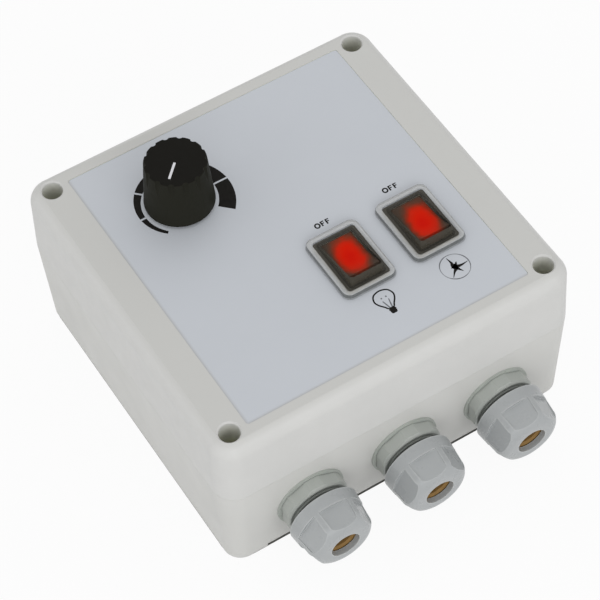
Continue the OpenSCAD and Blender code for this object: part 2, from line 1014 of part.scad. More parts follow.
module gland_locknut(i) {
    color("darkgray")
        at_gland(i)
            translate([0, 0, -gland_wall - locknut_t])
                difference() {
                    linear_extrude(locknut_t)
                        hexagon(locknut_af);
                    translate([0, 0, -eps])
                        cylinder(r = gland_thread_r + running, h = locknut_t + 2 * eps);
                }
}

module gland_seal(i) {
    lead_in = 0.6;
    color("peru")
        at_gland(i)
            rotate_extrude()
                polygon([
                    [seal_bore_r, seal_top - seal_len], [seal_r, seal_top - seal_len], [seal_r, seal_top],
                    [seal_bore_r + lead_in, seal_top], [seal_bore_r, seal_top - lead_in]
                ]);
}

// Outer form of the dome nut: round back, slightly tapered barrel, rounded nose
module nut_outline() {
    dome_z = nut_top - dome_r;
    polygon([[0, nut_z], [nut_r, nut_z], [nose_r, dome_z], [0, dome_z]]);
    translate([0, dome_z])
        square([nose_r - dome_r, dome_r]);
    intersection() {
        translate([nose_r - dome_r, dome_z])
            circle(dome_r);
        translate([0, dome_z])
            square([nut_r, dome_r]);
    }
}

module nut_inside() {
    bore_r = cap_thread_r + running;
    bore_z = nut_z + nut_bore_len;
    lip_z = nut_top - nut_lip;
    polygon([
        [0, nut_z - eps], [bore_r, nut_z - eps], [bore_r, bore_z], [nut_taper_r, lip_z - lip_step],
        [nut_shoulder_r, lip_z], [mouth_r, lip_z], [mouth_r, nut_top + eps], [0, nut_top + eps]
    ]);
}

// One flat, as a cutter that stands on the flat's back edge and reaches outwards
module nut_flat() {
    flat_len = nut_len - nut_back_len - flat_nose_gap;
    translate([nut_af / 2, 0, nut_z + nut_back_len])
        rotate([0, -flat_lean, 0])
            rotate([90, 0, 90])
                linear_extrude(nut_r)
                    trapezoid(flat_back_w / 2, 0, flat_nose_w / 2, flat_len);
}

module gland_nut(i) {
    color("darkgray")
        at_gland(i)
            difference() {
                rotate_extrude()
                    difference() {
                        nut_outline();
                        nut_inside();
                    }
                for (k = [0 : 5])
                    rotate(k * 60 + 30 + nut_turn[i])
                        nut_flat();
            }
}

// Control board and what stands on it

module control_board() {
    color("darkgreen")
        translate([0, board_y, board_z])
            linear_extrude(board_t)
                difference() {
                    square([board_w, board_d], center = true);
                    for (x = [-board_hole_x, board_hole_x])
                        for (y = [-board_hole_y, board_hole_y])
                            translate([x, y])
                                circle(board_screw_r + 2 * slip);
                }
}

module board_screws() {
    color("silver")
        at_board_holes() {
            translate([0, 0, board_top - board_screw_len])
                cylinder(r = board_screw_r, h = board_screw_len);
            translate([0, 0, board_top])
                cylinder(r1 = board_head_r, r2 = board_head_r - board_head_h / 2, h = board_head_h);
        }
}

module at_poles() {
    for (i = [0 : pole_count - 1])
        translate([(i - (pole_count - 1) / 2) * pole_pitch, block_y + block_d / 2, board_top])
            children();
}

module terminal_block() {
    color("seagreen")
        difference() {
            translate([-block_w / 2, block_y, board_top])
                cube([block_w, block_d, block_h]);
            at_poles() {
                translate([0, 0, block_h - pole_hole_len])
                    cylinder(r = pole_hole_r, h = pole_hole_len + eps);
                translate([0, -block_d / 2 - eps, pole_entry_z])
                    rotate([-90, 0, 0])
                        cylinder(r = pole_hole_r, h = block_d / 2 + eps);
            }
        }
}

module terminal_screws() {
    color("silver")
        at_poles()
            translate([0, 0, block_h - pole_hole_len])
                cylinder(r = pole_screw_r, h = pole_screw_h);
}

module heat_sink() {
    fin_step = (sink_w - sink_fin_t) / (sink_fins - 1);
    color("lightgray")
        difference() {
            translate([sink_x - sink_w / 2, sink_front, board_top])
                linear_extrude(sink_h) {
                    square([sink_w, sink_t]);
                    for (i = [0 : sink_fins - 1])
                        translate([i * fin_step, 0])
                            square([sink_fin_t, sink_depth]);
                }
            translate([sink_x, sink_front - eps, triac_hole_z])
                rotate([-90, 0, 0])
                    cylinder(r = triac_screw_r + running, h = sink_t + 2 * eps);
        }
}

module triac() {
    color("dimgray")
        difference() {
            union() {
                translate([sink_x - triac_w / 2, sink_front - triac_body_t, triac_z])
                    cube([triac_w, triac_body_t, triac_body_h]);
                translate([sink_x - triac_w / 2, sink_front - triac_tab_t, triac_z])
                    cube([triac_w, triac_tab_t, triac_body_h + triac_tab_h]);
                for (i = [-1 : 1])
                    translate([sink_x + i * leg_step - leg_w / 2, sink_front - triac_body_t / 2, board_top])
                        cube([leg_w, leg_t, triac_z - board_top + eps]);
            }
            translate([sink_x, sink_front - triac_tab_t - eps, triac_hole_z])
                rotate([-90, 0, 0])
                    cylinder(r = triac_hole_r, h = triac_tab_t + 2 * eps);
        }
}

module triac_screw() {
    color("silver")
        translate([sink_x, sink_front - triac_tab_t, triac_hole_z])
            rotate([-90, 0, 0]) {
                cylinder(r = triac_screw_r, h = triac_tab_t + sink_t);
                translate([0, 0, -triac_head_h])
                    cylinder(r = triac_head_r, h = triac_head_h);
            }
}

module choke() {
    color("goldenrod")
        translate([choke_x, choke_y, board_top])
            rotate_extrude()
                translate([(choke_in_r + choke_out_r) / 2, choke_h / 2])
                    rounded_rect(choke_out_r - choke_in_r, choke_h, choke_round);
}

module film_capacitor() {
    color("firebrick")
        translate([film_cap_x - film_cap_size.x / 2, film_cap_y - film_cap_size.y / 2, board_top])
            cube(film_cap_size);
}

module fuse_holder() {
    color("dimgray")
        difference() {
            translate([fuse_x - holder_w / 2, fuse_y - holder_len / 2, board_top]) {
                cube([holder_w, holder_len, holder_h]);
                for (y = [0, holder_len - cheek_t])
                    translate([0, y, 0])
                        cube([holder_w, cheek_t, cheek_h]);
            }
            translate([fuse_x, fuse_y, fuse_z])
                rotate([90, 0, 0])
                    cylinder(r = fuse_r + running, h = fuse_len + 2 * running, center = true);
            translate([fuse_x - fuse_r, fuse_y - fuse_len / 2 - running, fuse_z])
                cube([2 * fuse_r, fuse_len + 2 * running, cheek_h]);
        }
}

module fuse() {
    color("lightgray")
        translate([fuse_x, fuse_y, fuse_z])
            rotate([90, 0, 0]) {
                cylinder(r = fuse_glass_r, h = fuse_len - 2 * eps, center = true);
                for (s = [-1, 1])
                    translate([0, 0, s * (fuse_len - fuse_cap_len) / 2])
                        cylinder(r = fuse_r, h = fuse_cap_len, center = true);
            }
}

// Insulated leads: straight runs with a round knuckle at each bend

module run(a, b) {
    d = b - a;
    translate(a)
        rotate([0, acos(d.z / norm(d)), atan2(d.y, d.x)])
            cylinder(r = lead_r, h = norm(d));
}

module lead(points) {
    last = len(points) - 1;
    for (i = [0 : last - 1])
        run(points[i], points[i + 1]);
    for (i = [1 : last - 1])
        translate(points[i])
            sphere(lead_r * lead_knuckle);
}

module pot_leads() {
    top = lid_in_z - pot_h + lug_drop;
    reach = pot_r + lug_len - lead_r;
    mid = (top + board_top) / 2;
    color("crimson")
        for (i = [-1 : 1]) {
            x = knob_x + reach * cos(i * lug_step - 90);
            y = knob_y + reach * sin(i * lug_step - 90);
            lead([
                [x, y, top], [x, y, top - lead_drop], [x, y - lead_bow, mid],
                [x, y, board_top + lead_drop], [x, y, board_top]
            ]);
        }
}

module switch_leads(x) {
    top = label_top + boot_seat_t - switch_depth - blade_len;
    color("royalblue")
        for (i = [-1 : 1]) {
            y = switch_y + i * blade_step;
            top_x = x + i * (blade_w / 2 - lead_r);
            land_x = x + i * lead_spread;
            lead([
                [top_x, y, top], [top_x, y, top - lead_drop],
                [land_x, lead_land_y, top - 2 * lead_drop], [land_x, lead_land_y, board_top]
            ]);
        }
}

base_box();
lid();
lid_gasket();
lid_screws();
lid_inserts();
front_label();
speed_pot();
pot_washer();
pot_nut();
pot_shaft();
knob();
knob_pointer();
knob_insert();
knob_set_screw();
switch_housing(light_x);  // light_switch
rocker(light_x);  // light_rocker
rocker_lamp(light_x);  // light_rocker_lamp
switch_blades(light_x);  // light_switch_blades
switch_boot(light_x);  // light_switch_boot
switch_housing(fan_x);  // fan_switch
rocker(fan_x);  // fan_rocker
rocker_lamp(fan_x);  // fan_rocker_lamp
switch_blades(fan_x);  // fan_switch_blades
switch_boot(fan_x);  // fan_switch_boot
gland_body(0);  // gland_1_body
gland_washer(0);  // gland_1_washer
gland_locknut(0);  // gland_1_locknut
gland_seal(0);  // gland_1_seal
gland_nut(0);  // gland_1_nut
gland_body(1);  // gland_2_body
gland_washer(1);  // gland_2_washer
gland_locknut(1);  // gland_2_locknut
gland_seal(1);  // gland_2_seal
gland_nut(1);  // gland_2_nut
gland_body(2);  // gland_3_body
gland_washer(2);  // gland_3_washer
gland_locknut(2);  // gland_3_locknut
gland_seal(2);  // gland_3_seal
gland_nut(2);  // gland_3_nut
control_board();
board_screws();
terminal_block();
terminal_screws();
heat_sink();
triac();
triac_screw();
choke();
film_capacitor();
fuse_holder();
fuse();
pot_leads();
switch_leads(light_x);  // light_switch_leads
switch_leads(fan_x);  // fan_switch_leads
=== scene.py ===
import math

import bmesh
import bpy
from mathutils import Matrix, Vector

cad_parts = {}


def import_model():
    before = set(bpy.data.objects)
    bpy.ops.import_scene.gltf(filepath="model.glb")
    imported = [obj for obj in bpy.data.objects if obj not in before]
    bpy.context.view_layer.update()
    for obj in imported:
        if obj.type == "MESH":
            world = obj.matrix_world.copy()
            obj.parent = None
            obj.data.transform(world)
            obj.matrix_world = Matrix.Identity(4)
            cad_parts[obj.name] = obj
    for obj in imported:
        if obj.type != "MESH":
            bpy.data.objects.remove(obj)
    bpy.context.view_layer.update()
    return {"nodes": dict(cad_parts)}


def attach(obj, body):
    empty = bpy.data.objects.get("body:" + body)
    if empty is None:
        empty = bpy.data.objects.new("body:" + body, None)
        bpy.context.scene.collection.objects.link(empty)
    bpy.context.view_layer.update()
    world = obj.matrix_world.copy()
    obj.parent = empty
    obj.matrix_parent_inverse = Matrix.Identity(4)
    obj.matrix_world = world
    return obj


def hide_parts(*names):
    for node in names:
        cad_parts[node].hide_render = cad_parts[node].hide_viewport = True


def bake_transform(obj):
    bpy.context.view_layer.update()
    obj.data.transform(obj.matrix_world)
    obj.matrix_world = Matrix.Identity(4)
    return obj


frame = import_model()
nodes = frame["nodes"]
scene = bpy.context.scene
scene.view_settings.view_transform = "Standard"
MM = 0.001

# Places and sizes on the part, in millimetres
LABEL_TOP = 60.65
KNOB_X, KNOB_Y = -24.0, 28.0
LIGHT_X, FAN_X = 7.5, 32.5
SWITCH_Y = -20.75
INK = 0.02
# The box's footprint, which bounds the floor's painted shadow.
FOOT_HALF = {"X": 60.9, "Y": 59.4}
FOOT_CORNER = 7.75


# Colours and node trees

def srgb(r, g, b):
    """Linear colour of an 8-bit screen colour."""
    def lin(v):
        v /= 255
        return v / 12.92 if v <= 0.04045 else ((v + 0.055) / 1.055) ** 2.4
    return (lin(r), lin(g), lin(b), 1.0)


def tint(colour, k):
    """The colour made lighter or darker by k."""
    return tuple(min(1.0, c * k) for c in colour[:3]) + (1.0,)


class Nodes:
    """A node tree with short calls to add nodes and links."""

    def __init__(self, tree):
        self.tree = tree

    def add(self, kind, **props):
        node = self.tree.nodes.new(kind)
        for key, value in props.items():
            setattr(node, key, value)
        return node

    def link(self, output, socket):
        self.tree.links.new(output, socket)

    def feed(self, socket, value):
        """Link an output to the socket, or set a fixed value on it."""
        if isinstance(value, bpy.types.NodeSocket):
            self.link(value, socket)
        else:
            socket.default_value = value

    def math(self, op, *values):
        node = self.add("ShaderNodeMath", operation=op)
        for socket, value in zip(node.inputs, values):
            self.feed(socket, value)
        return node.outputs[0]

    def seen(self):
        """1 where the eye looks, also by a reflection or through a clear sheet, and 0 for other light."""
        path = self.add("ShaderNodeLightPath").outputs
        onward = self.math("MAXIMUM", path["Is Glossy Ray"], path["Is Transmission Ray"])
        return self.math("MAXIMUM", path["Is Camera Ray"], onward)

    def show(self, target, fac, first, second):
        """Show the first shader where fac is 0 and the second where it is 1."""
        node = self.add("ShaderNodeMixShader")
        for socket, output in zip(node.inputs, (fac, first, second)):
            self.link(output, socket)
        self.link(node.outputs["Shader"], self.tree.nodes[target].inputs["Surface"])


class Surface(Nodes):
    """A material's node tree, with what the part's surfaces have in common."""

    def __init__(self, name):
        self.mat = bpy.data.materials.new(name)
        self.mat.use_nodes = True
        super().__init__(self.mat.node_tree)
        self.bsdf = self.tree.nodes["Principled BSDF"]

    def place(self):
        return self.add("ShaderNodeTexCoord").outputs["Object"]

    def normal(self):
        return self.add("ShaderNodeNewGeometry").outputs["Normal"]

    def axes(self, output):
        node = self.add("ShaderNodeSeparateXYZ")
        self.link(output, node.inputs["Vector"])
        return node.outputs

    def noise(self, size_mm, detail=3.0, stretch=None):
        """Noise whose features are about size_mm across on the part."""
        place = self.place()
        if stretch:
            mapping = self.add("ShaderNodeMapping")
            mapping.inputs["Scale"].default_value = stretch
            self.link(place, mapping.inputs["Vector"])
            place = mapping.outputs["Vector"]
        node = self.add("ShaderNodeTexNoise")
        node.inputs["Scale"].default_value = 1 / (size_mm * MM)
        node.inputs["Detail"].default_value = detail
        node.inputs["Roughness"].default_value = 0.55
        self.link(place, node.inputs["Vector"])
        return node.outputs["Fac"]

    def ramp(self, fac, *stops):
        node = self.add("ShaderNodeValToRGB")
        elements = node.color_ramp.elements
        while len(elements) < len(stops):
            elements.new(0.5)
        for element, (position, colour) in zip(elements, stops):
            element.position = position
            element.color = colour
        self.link(fac, node.inputs["Fac"])
        return node.outputs["Color"]

    def remap(self, value, low, high, start=0.0, end=1.0):
        """From start to end while value goes from low to high, and level beyond."""
        node = self.add("ShaderNodeMapRange")
        for key, v in (("From Min", low), ("From Max", high), ("To Min", start), ("To Max", end)):
            node.inputs[key].default_value = v
        self.link(value, node.inputs["Value"])
        return node.outputs["Result"]

    def mix(self, fac, a, b):
        """Colour a where fac is 0 and b where it is 1; each is a colour or an output."""
        node = self.add("ShaderNodeMix", data_type="RGBA")
        for key, value in (("Factor", fac), ("A", a), ("B", b)):
            self.feed(node.inputs[key], value)
        return node.outputs["Result"]

    def patches(self, size_mm, low, high, edge=0.35, stretch=None):
        """Soft patches of two colours."""
        return self.ramp(self.noise(size_mm, stretch=stretch), (edge, low), (1 - edge, high))

    def uneven(self, size_mm, middle, swing, detail=3.0):
        """A value that wanders round a middle one in patches."""
        return self.remap(self.noise(size_mm, detail), 0.3, 0.7, middle - swing, middle + swing)

    def open_sky(self, reach_mm, low, high, samples):
        """0 where at most the share low is open within the reach, and 1 from the share high."""
        node = self.add("ShaderNodeAmbientOcclusion", samples=samples)
        node.inputs["Distance"].default_value = reach_mm * MM
        return self.remap(node.outputs["AO"], low, high)

    def set(self, **sockets):
        for key, value in sockets.items():
            self.bsdf.inputs[key.replace("_", " ")].default_value = value

    def coat(self, colour, rough, sockets, patch=4.0, swing=0.06, grain=0.3, detail=2.0, stretch=None,
             height=None, bump=0.12, depth=0.02):
        """Give the surface its colour, an uneven gloss and a fine relief; sizes in millimetres."""
        self.link(colour, self.bsdf.inputs["Base Color"])
        self.link(self.uneven(patch, rough, swing), self.bsdf.inputs["Roughness"])
        relief = self.add("ShaderNodeBump")
        relief.inputs["Strength"].default_value = bump
        relief.inputs["Distance"].default_value = depth * MM
        self.link(height or self.noise(grain, detail, stretch), relief.inputs["Height"])
        self.link(relief.outputs["Normal"], self.bsdf.inputs["Normal"])
        self.set(**sockets)
        return self.mat


# Kinds of surface

def finish(name, colour, rough, vary=0.02, patch=14.0, grain=0.35, bump=0.15, depth=0.02, stretch=None,
           shade=None, **sockets):
    """Moulded, printed or metal surface: soft colour patches, uneven gloss and a fine grain; shade, if given,
    paints shade into the colour.
    """
    g = Surface(name)
    patches = g.patches(patch, tint(colour, 1 - vary), tint(colour, 1 + vary), stretch=stretch)
    return g.coat(shade(g, patches) if shade else patches, rough, sockets, patch=patch * 0.4, grain=grain,
                  stretch=stretch, bump=bump, depth=depth)


def label_edge_painted_shade(g, colour):
    """A thin painted shade along the label's front and left edges, where the edge of its recess is in shade.
    """
    corners = [v.co for v in nodes["front_label"].data.vertices]
    place = g.axes(g.place())
    from_left = g.math("SUBTRACT", place["X"], min(c.x for c in corners))
    from_front = g.math("SUBTRACT", place["Y"], min(c.y for c in corners))
    inside = g.math("MINIMUM", from_left, from_front)
    return g.mix(g.remap(inside, 0.1 * MM, 1.0 * MM), srgb(183, 185, 188), colour)


def painted_crevice_shading(name, colour, rough, groove, reach_mm, top=None, low=0.2, high=0.7, **sockets):
    """Moulded plastic with painted light and shade: the groove colour in its hollows, where little of the
    room is in sight, and if given a painted shade on its flat top.
    """
    g = Surface(name)
    patches = g.patches(10, tint(colour, 0.98), colour)
    if top:
        # Painted shade: faces that look up take the top colour.
        patches = g.mix(g.remap(g.axes(g.normal())["Z"], 0.7, 0.97), patches, top)
    # Painted light and shade: the groove colour where little of the sky is open.
    return g.coat(g.mix(g.open_sky(reach_mm, low, high, 8), groove, patches), rough, sockets)


def painted_edge_highlight(name, colour, rough, edge, reach_mm, **sockets):
    """Moulded plastic with a painted highlight along its edges."""
    g = Surface(name)
    patches = g.patches(10, tint(colour, 0.97), colour)
    # Painted highlight: the paler colour where the rounded normal turns from the face's own.
    soft = g.add("ShaderNodeBevel", samples=8)
    soft.inputs["Radius"].default_value = reach_mm * MM
    turn = g.add("ShaderNodeVectorMath", operation="DOT_PRODUCT")
    g.link(soft.outputs["Normal"], turn.inputs[0])
    g.link(g.normal(), turn.inputs[1])
    flat = g.remap(turn.outputs["Value"], 0.9, 0.99)
    return g.coat(g.mix(flat, edge, patches), rough, sockets)


def painted_two_shade(name, rough, side, top, low=0.3, high=0.9, **sockets):
    """Moulded surface with painted light and shade: one shade on its upright faces and another on its flat
    ones, as light falls on them.
    """
    g = Surface(name)
    # Painted shade by how far each face looks up.
    up = g.math("ADD", g.axes(g.normal())["Z"], g.uneven(5, 0.0, 0.06))
    return g.coat(g.ramp(up, (low, side), (high, top)), rough, sockets, patch=2.5, bump=0.2)


def wound(name, valley, crest):
    """Enamelled wire laid in turns round a core, with a painted shade in the valleys between the turns."""
    g = Surface(name)
    wave = g.add("ShaderNodeTexWave", wave_type="RINGS", rings_direction="Z")
    wave.inputs["Scale"].default_value = 220.0
    wave.inputs["Distortion"].default_value = 0.6
    g.link(g.place(), wave.inputs["Vector"])
    turns = wave.outputs["Fac"]
    return g.coat(g.ramp(turns, (0.2, valley), (0.8, crest)), 0.325, {"Metallic": 0.6}, patch=2, swing=0.075,
                  height=turns, bump=0.6, depth=0.2)


# Painted light of the rockers: how far out from the middle, and the colours from lit-through red to painted
# shade at the edges.
GLOW_HALF = {"X": 6.6, "Y": 11.6}
GLOW_POWER = 2.5
GLOW = [(0.0, srgb(206, 12, 0)), (0.34, srgb(212, 28, 4)), (0.5, srgb(200, 36, 14)),
        (0.65, srgb(146, 48, 28)), (0.78, srgb(96, 57, 43)), (0.92, srgb(74, 62, 53))]


def painted_glow_lens(name, x, y, turn):
    """Red lens with painted light: bright red round x and y, as if lit through, going to a painted shade
    towards the rocker's edges; turn in degrees.
    """
    g = Surface(name)
    mapping = g.add("ShaderNodeMapping", vector_type="TEXTURE")
    mapping.inputs["Location"].default_value = (x * MM, y * MM, LABEL_TOP * MM)
    mapping.inputs["Rotation"].default_value = (0, 0, math.radians(turn))
    mapping.inputs["Scale"].default_value = (MM, MM, MM)
    g.link(g.place(), mapping.inputs["Vector"])
    place = g.axes(mapping.outputs["Vector"])
    shares = [g.math("POWER", g.math("ABSOLUTE", g.math("DIVIDE", place[axis], half)), GLOW_POWER)
              for axis, half in GLOW_HALF.items()]
    out = g.math("POWER", g.math("ADD", *shares), 1 / GLOW_POWER)
    # Painted light and shade by the distance from the middle.
    colour = g.ramp(g.math("ADD", out, g.uneven(3, 0.0, 0.05, detail=1.0)), *GLOW)
    return g.coat(colour, 0.28, {"Specular_IOR_Level": 0.01}, patch=3, grain=1.6, detail=3.0, bump=0.1,
                  depth=0.05)


def clear(name, colour, alpha, rough):
    """Clear soft vinyl: a thin haze with a gloss."""
    g = Surface(name)
    haze = g.patches(3, tint(colour, 0.94), tint(colour, 1.04), edge=0.3)
    return g.coat(haze, rough, {"Alpha": alpha, "Specular_IOR_Level": 0.5}, patch=2, swing=0.05, grain=2.4,
                  detail=3.0, bump=0.25, depth=0.1)


# Materials

PLASTIC = {"Specular_IOR_Level": 0.35}
PRINT = {"grain": 0.2, "bump": 0.1, "depth": 0.01, "Specular_IOR_Level": 0.06}
METAL = {"Metallic": 1.0}
LEAD = {"vary": 0.06, "patch": 4, "grain": 0.3}

enclosure = finish("enclosure_plastic", srgb(202, 202, 199), 0.48, vary=0.012, patch=30, **PLASTIC)
# The lid's hollows are painted lighter, a painted light that lifts their shade, and its flat top is painted
# darker than its walls, a painted shade.
lid_plastic = painted_crevice_shading("lid_plastic", srgb(205, 205, 203), 0.48, srgb(232, 233, 200), 6.0, srgb(198, 198, 195),
                      **PLASTIC)
# The label's colour carries a painted shade along its front and left edges.
label = finish("label_film", srgb(194, 198, 204), 0.5, vary=0.008, patch=40, grain=0.25, bump=0.08,
               shade=label_edge_painted_shade, **PLASTIC)
ink = finish("legend_ink", srgb(27, 26, 24), 0.6, vary=0.15, patch=1.5, **PRINT)
ink_grey = finish("legend_ink_thin", srgb(112, 114, 118), 0.6, vary=0.25, patch=0.8, **PRINT)
# The knob's darker top and lighter sides are painted shade and light.
knob_black = painted_two_shade("knob_plastic", 0.55, srgb(36, 36, 30), srgb(23, 22, 19), Specular_IOR_Level=0.05)
pointer_white = finish("pointer_paint", srgb(216, 216, 220), 0.5, vary=0.04, patch=1.2, grain=0.25)
# The switch's upright faces, such as the walls of the gap round the rocker, are painted lighter, a painted
# light that lifts their shade.
switch_black = painted_two_shade("switch_plastic", 0.5, srgb(178, 174, 160), srgb(73, 71, 65), 0.2, 0.6,
                         Specular_IOR_Level=0.1)
# The rockers' red carries painted light: bright in the middle, painted shade at the edges.
light_red = painted_glow_lens("light_rocker_red", LIGHT_X, SWITCH_Y + 0.3, -9)
fan_red = painted_glow_lens("fan_rocker_red", FAN_X + 0.3, SWITCH_Y - 1.1, -13)
lamp = finish("neon_lamp_glass", srgb(214, 120, 60), 0.12, vary=0.1, patch=2, grain=0.5, bump=0.05)
boot_rim = clear("boot_rim_vinyl", srgb(216, 217, 216), 0.44, 0.25)
# The rim's wall is a darker grey, a painted shade, and its foot a painted shadow on the label.
boot_wall_painted_shade = clear("boot_wall_vinyl_painted_shade", srgb(96, 99, 98), 0.75, 0.3)
boot_foot_painted_shadow = clear("boot_foot_vinyl_painted_shadow", srgb(112, 114, 114), 0.3, 0.3)
boot_film = clear("boot_film_vinyl", srgb(210, 212, 210), 0.003, 0.18)
# The film's skirt is a dark sheet over the rocker's edges, a painted shade, darker on its flatter parts.
boot_skirt_painted_shade = painted_two_shade("boot_skirt_vinyl_painted_shade", 0.25, srgb(74, 71, 63), srgb(56, 54, 48), 0.5, 0.85, Alpha=0.85,
                       Specular_IOR_Level=0.1)
# The glands' grooves, such as the gap between collar and nut, carry a painted shade.
gland_grey = painted_crevice_shading("gland_nylon", srgb(172, 176, 171), 0.4, srgb(36, 37, 33), 2.5, low=0.32, high=0.72,
                     **PLASTIC)
# The nuts' paler edges are a painted highlight.
nut_grey = painted_edge_highlight("gland_nut_nylon", srgb(166, 169, 170), 0.3, srgb(180, 183, 183), 0.9, **PLASTIC)
washer_grey = finish("gland_washer_rubber", srgb(169, 174, 168), 0.6, vary=0.05, patch=5, grain=0.25,
                     bump=0.3)
seal_tan = finish("seal_rubber", srgb(142, 111, 64), 0.65, vary=0.12, patch=3, grain=0.3, bump=0.4,
                  depth=0.05, Specular_IOR_Level=0.25)
gasket = finish("gasket_foam", srgb(70, 70, 70), 0.9, vary=0.15, patch=2, grain=0.4, bump=0.6, depth=0.08)
steel = finish("zinc_steel", srgb(196, 197, 195), 0.32, vary=0.06, patch=2, grain=0.15, **METAL)
dark_steel = finish("blackened_steel", srgb(70, 68, 66), 0.4, vary=0.12, patch=1.5, grain=0.15, **METAL)
brass = finish("brass", srgb(205, 170, 96), 0.3, vary=0.08, patch=2, grain=0.15, bump=0.2, **METAL)
pot_can = finish("pot_can_steel", srgb(180, 180, 178), 0.38, vary=0.06, patch=4, grain=0.2, **METAL)
aluminium = finish("heat_sink_aluminium", srgb(168, 170, 172), 0.42, vary=0.08, patch=3, grain=0.2, bump=0.3,
                   stretch=(1.0, 1.0, 0.15), **METAL)
winding = wound("choke_winding", srgb(92, 44, 22), srgb(186, 104, 52))
board_green = finish("board_laminate", srgb(32, 84, 50), 0.38, vary=0.2, patch=3, grain=0.5, bump=0.25,
                     depth=0.03)
terminal = finish("terminal_polyamide", srgb(70, 112, 86), 0.5, vary=0.06, patch=5, grain=0.3)
epoxy = finish("semiconductor_epoxy", srgb(34, 34, 36), 0.55, vary=0.12, patch=2, grain=0.2, bump=0.3)
film_cap = finish("capacitor_resin", srgb(176, 52, 34), 0.35, vary=0.06, patch=4, grain=0.4)
fuse_white = finish("fuse_ceramic", srgb(206, 204, 196), 0.3, vary=0.05, patch=2, grain=0.3)
lead_red = finish("lead_red_pvc", srgb(170, 36, 32), 0.42, **LEAD)
lead_blue = finish("lead_blue_pvc", srgb(46, 78, 160), 0.42, **LEAD)

FINISH = {
    "base_box": enclosure, "lid": lid_plastic, "front_label": label,
    "lid_gasket": gasket, "lid_screws": steel, "lid_inserts": brass,
    "knob": knob_black, "knob_pointer": pointer_white, "knob_insert": brass, "knob_set_screw": dark_steel,
    "speed_pot": pot_can, "pot_washer": steel, "pot_nut": steel, "pot_shaft": steel, "pot_leads": lead_red,
    "light_rocker": light_red, "fan_rocker": fan_red,
    "control_board": board_green, "board_screws": steel, "terminal_block": terminal, "terminal_screws": steel,
    "heat_sink": aluminium, "triac": epoxy, "triac_screw": steel, "choke": winding,
    "film_capacitor": film_cap, "fuse_holder": epoxy, "fuse": fuse_white,
}
for which in ("light", "fan"):
    FINISH.update({f"{which}_switch": switch_black, f"{which}_rocker_lamp": lamp,
                   f"{which}_switch_boot": boot_rim, f"{which}_switch_blades": steel,
                   f"{which}_switch_leads": lead_blue})
for i in (1, 2, 3):
    FINISH.update({f"gland_{i}_body": gland_grey, f"gland_{i}_locknut": gland_grey,
                   f"gland_{i}_nut": nut_grey, f"gland_{i}_washer": washer_grey, f"gland_{i}_seal": seal_tan})
for name, obj in nodes.items():
    obj.data.materials.clear()
    obj.data.materials.append(FINISH[name])


# Building pieces, in millimetres

SHARP = math.radians(35)


def piece(name, bm, *mats, body="enclosure"):
    """A new mesh piece that rides on a body."""
    bmesh.ops.recalc_face_normals(bm, faces=bm.faces)
    bmesh.ops.scale(bm, vec=(MM, MM, MM), verts=bm.verts)
    mesh = bpy.data.meshes.new(name)
    bm.to_mesh(mesh)
    bm.free()
    for mat in mats:
        mesh.materials.append(mat)
    mesh.shade_smooth()
    mesh.set_sharp_from_angle(angle=SHARP)
    obj = bpy.data.objects.new(name, mesh)
    scene.collection.objects.link(obj)
    if body:
        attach(obj, body)
    return obj


def loft(bm, rings, cap_start=False, cap_end=False, slots=None):
    """Skin over closed rings of points with equal counts; slots gives each band's material."""
    verts = [[bm.verts.new(p) for p in ring] for ring in rings]
    n = len(verts[0])
    for k, (a, b) in enumerate(zip(verts, verts[1:])):
        for i in range(n):
            face = bm.faces.new((a[i], a[(i + 1) % n], b[(i + 1) % n], b[i]))
            face.material_index = slots[k] if slots else 0
    if cap_start:
        bm.faces.new(verts[0])
    if cap_end:
        bm.faces.new(verts[-1])


def slab(bm, outline, t=INK):
    """Thin raised plate with a closed outline on the label."""
    loft(bm, [[(x, y, z) for x, y in outline] for z in (LABEL_TOP, LABEL_TOP + t)], True, True)


def ribbon(bm, points, widths, closed=False):
    """Printed line of changing width along points on the label."""
    n = len(points)
    pts = [Vector(p) for p in points]
    left, right = [], []
    for i, p in enumerate(pts):
        a = pts[(i - 1) % n] if closed or i else p
        b = pts[(i + 1) % n] if closed or i < n - 1 else p
        d = (b - a).normalized()
        side = Vector((-d.y, d.x)) * widths[i] / 2
        left.append(p + side)
        right.append(p - side)
    low_l, low_r, top_l, top_r = [[bm.verts.new((q.x, q.y, z)) for q in line]
                                  for z in (LABEL_TOP, LABEL_TOP + INK) for line in (left, right)]
    for i in range(n if closed else n - 1):
        j = (i + 1) % n
        bm.faces.new((top_l[i], top_l[j], top_r[j], top_r[i]))
        bm.faces.new((low_l[i], low_r[i], low_r[j], low_l[j]))
        bm.faces.new((low_l[i], low_l[j], top_l[j], top_l[i]))
        bm.faces.new((low_r[i], top_r[i], top_r[j], low_r[j]))
    if not closed:
        for i in (0, n - 1):
            bm.faces.new((low_l[i], top_l[i], top_r[i], low_r[i]))


def polar(cx, cy, rx, ry, degrees):
    a = math.radians(degrees)
    return (cx + rx * math.cos(a), cy + ry * math.sin(a))


def oval(cx, cy, rx, ry, n):
    return [polar(cx, cy, rx, ry, 360 * i / n) for i in range(n)]


def smooth_line(points, n=8):
    """Points on a smooth line through the given ones."""
    pts = [Vector(p) for p in points]
    pts = [2 * pts[0] - pts[1]] + pts + [2 * pts[-1] - pts[-2]]
    line = []
    for p0, p1, p2, p3 in zip(pts, pts[1:], pts[2:], pts[3:]):
        for i in range(n):
            t = i / n
            line.append(0.5 * (2 * p1 + (p2 - p0) * t + (2 * p0 - 5 * p1 + 4 * p2 - p3) * t ** 2
                               + (3 * p1 - p0 - 3 * p2 + p3) * t ** 3))
    return line + [pts[-2]]


# Printed legends on the label

